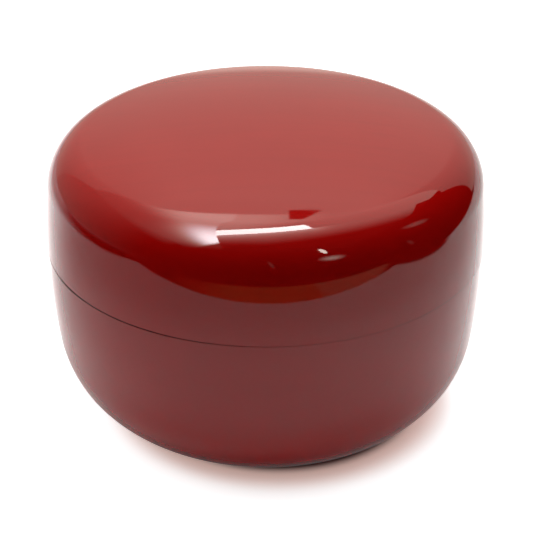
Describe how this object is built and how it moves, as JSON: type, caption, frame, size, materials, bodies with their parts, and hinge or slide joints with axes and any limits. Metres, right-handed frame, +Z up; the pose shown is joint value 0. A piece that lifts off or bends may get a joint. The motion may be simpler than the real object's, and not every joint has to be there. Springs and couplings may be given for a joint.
{
  "type": "lacquer tea caddy",
  "caption": "Low round lacquered tea caddy with a gently domed lid that slips over a standing lip and lifts off.",
  "frame": {"origin": "centre of the circle that the foot ring stands on", "axes": "+Z up, along the axis of the turning; the object is round, so X and Y are free"},
  "size_m": [0.082, 0.082, 0.058],
  "materials": {
    "turned_wood": "fine close-grained turned wood, sealed",
    "red_lacquer": "deep red lacquer polished to a mirror gloss",
    "black_lacquer": "black lacquer polished to a soft gloss"
  },
  "bodies": {
    "caddy_body": {"body_core": "turned_wood", "body_outer_lacquer": "red_lacquer", "body_inner_lacquer": "black_lacquer", "body_base_lacquer": "red_lacquer"},
    "lid": {"lid_core": "turned_wood", "lid_outer_lacquer": "red_lacquer", "lid_inner_lacquer": "black_lacquer"}
  },
  "joints": [
    {"name": "lid_lift", "type": "slide", "parent": "caddy_body", "child": "lid", "axis": [0, 0, 1], "range_m": [0, 0.08]}
  ]
}
